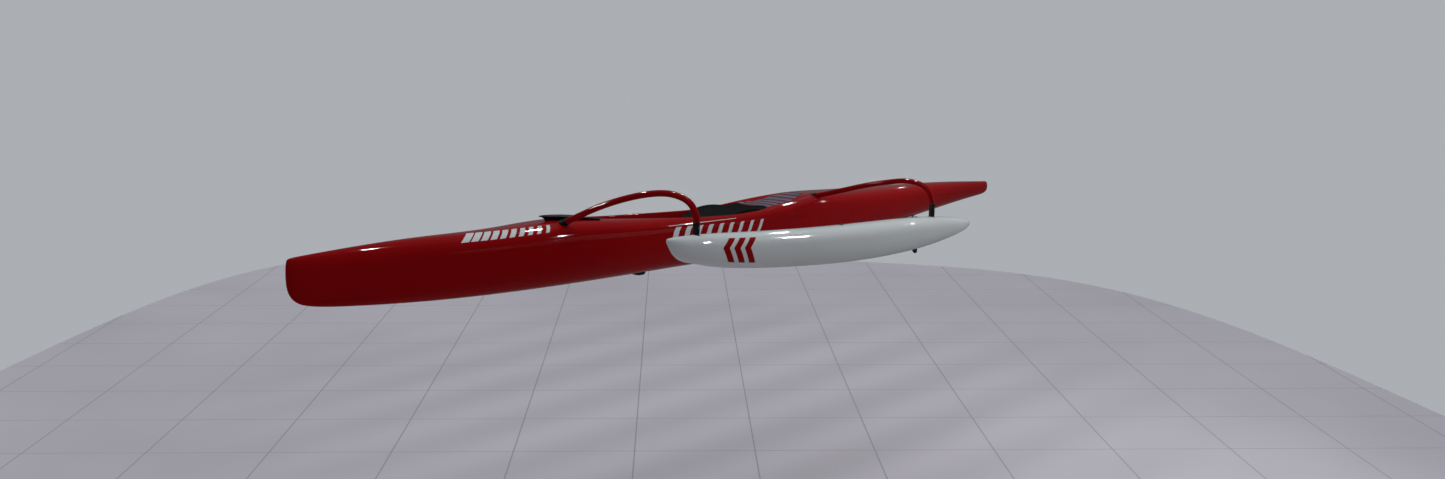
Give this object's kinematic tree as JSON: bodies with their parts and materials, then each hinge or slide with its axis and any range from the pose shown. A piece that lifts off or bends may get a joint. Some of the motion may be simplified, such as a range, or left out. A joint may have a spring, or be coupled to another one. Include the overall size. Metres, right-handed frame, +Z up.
{
  "type": "outrigger canoe",
  "caption": "Single-seat outrigger canoe: slim decked hull with an open footwell, a float on arched cross beams and a rudder worked by foot pedals.",
  "frame": {"origin": "amidships on the hull's centreline, in the plane of the waterline", "axes": "+X forward to the bow, +Y to the float's side, +Z up"},
  "size_m": [6.2, 1.1952, 0.6905],
  "materials": {
    "gloss_red": "gloss",
    "gloss_white": "gloss",
    "black_foam": "matt closed-cell foam",
    "black_plastic": "satin",
    "black_rubber": "matt",
    "grey_grip": "matt, fine grain",
    "steel": "brushed"
  },
  "bodies": {
    "canoe": {"hull": "gloss_red", "deck": "gloss_red", "seat": "black_foam", "grip_panel": "grey_grip", "spray_guard": "black_plastic", "iako_front": "gloss_red", "iako_rear": "gloss_red", "boot_front": "black_rubber", "boot_rear": "black_rubber", "leg_front": "black_plastic", "leg_rear": "black_plastic", "float": "gloss_white", "float_plug": "black_plastic", "hull_plug": "black_plastic", "pedal_track": "black_plastic", "pedal_carriage": "black_plastic", "pedal_axle": "steel", "rudder_bearing": "black_plastic", "rudder_cap": "black_plastic", "bailer": "black_plastic"},
    "left_pedal": {"pedal_left": "black_plastic"},
    "right_pedal": {"pedal_right": "black_plastic"},
    "steering_blade": {"rudder": "black_plastic"}
  },
  "joints": [
    {"name": "rudder_turn", "type": "hinge", "parent": "canoe", "child": "steering_blade", "pos_m": [-2.02, 0, 0], "axis": [0, 0, 1], "range_deg": [-35, 35]},
    {"name": "left_pedal_tilt", "type": "hinge", "parent": "canoe", "child": "left_pedal", "pos_m": [1, 0.0445, -0.0214], "axis": [0, 1, 0], "range_deg": [-15, 15]},
    {"name": "right_pedal_tilt", "type": "hinge", "parent": "canoe", "child": "right_pedal", "pos_m": [1, -0.0445, -0.0214], "axis": [0, 1, 0], "range_deg": [-15, 15]}
  ],
  "couplings": [
    {"joint": "left_pedal_tilt", "follows": "rudder_turn", "ratio": -0.4},
    {"joint": "right_pedal_tilt", "follows": "rudder_turn", "ratio": 0.4}
  ]
}
